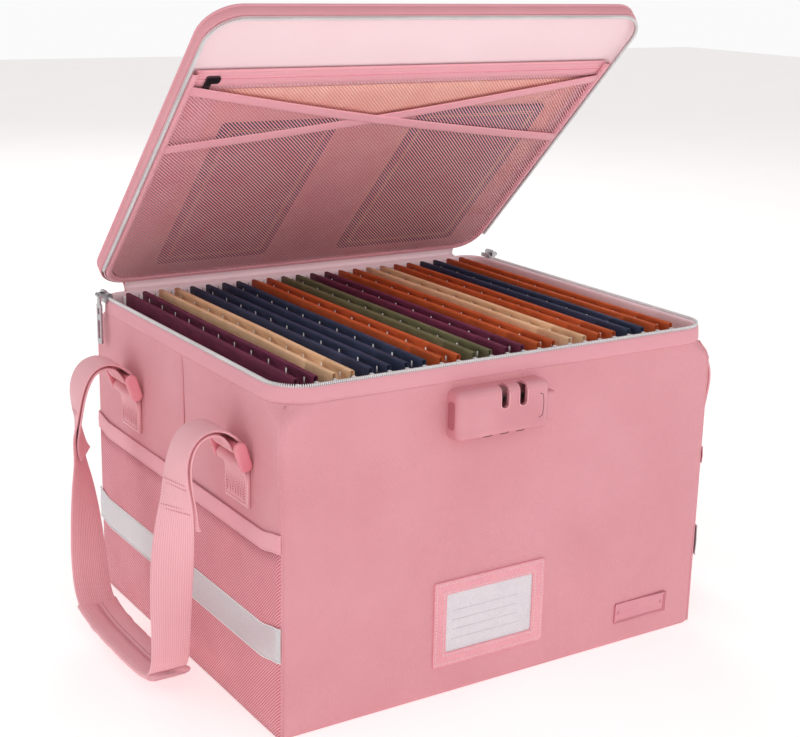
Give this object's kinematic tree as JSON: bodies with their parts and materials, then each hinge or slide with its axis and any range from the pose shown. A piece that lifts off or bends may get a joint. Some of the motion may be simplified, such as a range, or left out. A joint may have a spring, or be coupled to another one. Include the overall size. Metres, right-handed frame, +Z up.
{
  "type": "fireproof document box",
  "caption": "Soft-sided file box with a zipped, hinged lid, webbing side handles, a combination lock, lid pockets, side pockets and hanging files.",
  "frame": {"origin": "centre of the base, on the surface the box stands on", "axes": "+X along the front, +Y from front to back towards the lid's hinge, +Z up"},
  "size_m": [0.506, 0.344, 0.4902],
  "materials": {
    "shell_fabric": "fine woven coated fabric, matt",
    "band_fabric": "fine woven coated fabric, matt",
    "base_fabric": "coated fabric, matt",
    "fire_board": "pressed insulating board",
    "lining": "smooth light lining cloth",
    "mesh": "open woven mesh",
    "webbing": "ribbed webbing",
    "binding": "folded grosgrain binding",
    "reflective": "silver reflective tape",
    "zip_tape": "woven zipper tape",
    "zip_teeth": "moulded coil, silver-white",
    "steel": "plated cast metal",
    "dark_metal": "dark plated metal",
    "screw_steel": "plain steel",
    "ring_plastic": "moulded, satin",
    "lock_plastic": "moulded, satin",
    "wheel_plastic": "moulded, dark",
    "frame_leather": "grained synthetic leather, stitched",
    "clear_film": "clear soft film",
    "card": "uncoated card",
    "plate_metal": "pressed plate, painted",
    "rail_plastic": "extruded, satin",
    "rod_steel": "coated steel strip",
    "paper": "plain paper",
    "card_burgundy": "dyed pressboard",
    "card_beige": "pressboard",
    "card_navy": "dyed pressboard",
    "card_orange": "dyed pressboard",
    "card_olive": "dyed pressboard",
    "documents": "grained booklet covers and a paper envelope"
  },
  "bodies": {
    "box": {"base_cover": "base_fabric", "base_board": "fire_board", "front_board": "fire_board", "back_board": "fire_board", "side_boards": "fire_board", "front_cover": "shell_fabric", "back_cover": "shell_fabric", "left_cover": "shell_fabric", "right_cover": "shell_fabric", "rim_band": "band_fabric", "inner_lining": "lining", "rim_zipper_tape": "zip_tape", "rim_zipper_teeth": "zip_teeth", "hinge_strip": "band_fabric", "file_rails": "rail_plastic", "pocket_mesh_panels": "mesh", "pocket_bindings": "binding", "reflective_strips": "reflective", "anchor_tabs": "webbing", "label_frame": "frame_leather", "label_card": "card", "label_film": "clear_film", "name_plate": "plate_metal", "lock_housing": "lock_plastic", "lock_base_plate": "lock_plastic", "lock_axle": "screw_steel", "lock_screws": "screw_steel", "lock_spring": "screw_steel"},
    "lid": {"lid_cover": "shell_fabric", "lid_board": "fire_board", "lid_band": "band_fabric", "lid_lining": "lining", "lid_zipper_tape": "zip_tape", "lid_zipper_teeth": "zip_teeth", "lid_pocket_mesh": "mesh", "lid_pocket_zipper": "zip_tape", "lid_cross_pockets": "mesh", "lid_bindings": "binding", "lid_documents": "documents"},
    "lid_pocket_slider": {"lid_pocket_slider": "dark_metal"},
    "left_rings": {"left_rings": "ring_plastic"},
    "left_handle": {"left_handle": "webbing"},
    "right_rings": {"right_rings": "ring_plastic"},
    "right_handle": {"right_handle": "webbing"},
    "left_slider": {"left_slider": "steel"},
    "left_pull": {"left_pull": "steel"},
    "right_slider": {"right_slider": "steel"},
    "right_pull": {"right_pull": "steel"},
    "lock_wheel_1": {"lock_wheel_1": "wheel_plastic"},
    "lock_wheel_2": {"lock_wheel_2": "wheel_plastic"},
    "lock_wheel_3": {"lock_wheel_3": "wheel_plastic"},
    "lock_button": {"lock_button": "lock_plastic", "lock_latch": "screw_steel"},
    "hanging_files": {"files_burgundy": "card_burgundy", "files_beige": "card_beige", "files_navy": "card_navy", "files_orange": "card_orange", "files_olive": "card_olive", "hanging_rods": "rod_steel", "file_papers": "paper"}
  },
  "joints": [
    {"name": "lid_hinge", "type": "hinge", "parent": "box", "child": "lid", "pos_m": [0, 0.161, 0.254], "axis": [-1, 0, 0], "range_deg": [-45, 135]},
    {"name": "lid_pocket_zip", "type": "slide", "parent": "lid", "child": "lid_pocket_slider", "axis": [1, 0, 0], "range_m": [0, 0.335]},
    {"name": "lock_button_press", "type": "slide", "parent": "box", "child": "lock_button", "axis": [-1, 0, 0], "range_m": [0, 0.0045], "stiffness_N_per_m": 300, "springref_m": -0.002},
    {"name": "files_slide", "type": "slide", "parent": "box", "child": "hanging_files", "axis": [1, 0, 0], "range_m": [0, 0.007]},
    {"name": "left_ring_hinge", "type": "hinge", "parent": "box", "child": "left_rings", "pos_m": [-0.1963, -0.008, 0.19], "axis": [0, 1, 0], "range_deg": [-38, 12]},
    {"name": "left_handle_swing", "type": "hinge", "parent": "left_rings", "child": "left_handle", "pos_m": [-0.20032, -0.008, 0.20236], "axis": [0, 1, 0], "range_deg": [-8, 105]},
    {"name": "left_zip", "type": "slide", "parent": "box", "child": "left_slider", "axis": [0, -1, 0], "range_m": [0, 0.262]},
    {"name": "left_pull_swing", "type": "hinge", "parent": "left_slider", "child": "left_pull", "pos_m": [-0.1959, 0.138, 0.255], "axis": [0, 1, 0], "range_deg": [-4, 85]},
    {"name": "right_ring_hinge", "type": "hinge", "parent": "box", "child": "right_rings", "pos_m": [0.1963, -0.008, 0.19], "axis": [0, -1, 0], "range_deg": [-38, 12]},
    {"name": "right_handle_swing", "type": "hinge", "parent": "right_rings", "child": "right_handle", "pos_m": [0.20032, -0.008, 0.20236], "axis": [0, -1, 0], "range_deg": [-8, 105]},
    {"name": "right_zip", "type": "slide", "parent": "box", "child": "right_slider", "axis": [0, -1, 0], "range_m": [0, 0.262]},
    {"name": "right_pull_swing", "type": "hinge", "parent": "right_slider", "child": "right_pull", "pos_m": [0.1959, 0.138, 0.255], "axis": [0, -1, 0], "range_deg": [-4, 85]},
    {"name": "lock_dial_1", "type": "hinge", "parent": "box", "child": "lock_wheel_1", "pos_m": [-0.029, -0.1662, 0.2035], "axis": [1, 0, 0], "continuous": true},
    {"name": "lock_dial_2", "type": "hinge", "parent": "box", "child": "lock_wheel_2", "pos_m": [-0.0145, -0.1662, 0.2035], "axis": [1, 0, 0], "continuous": true},
    {"name": "lock_dial_3", "type": "hinge", "parent": "box", "child": "lock_wheel_3", "pos_m": [0, -0.1662, 0.2035], "axis": [1, 0, 0], "continuous": true}
  ],
  "couplings": [
    {"joint": "left_ring_hinge", "follows": "left_handle_swing", "ratio": -0.35},
    {"joint": "right_ring_hinge", "follows": "right_handle_swing", "ratio": -0.35}
  ]
}
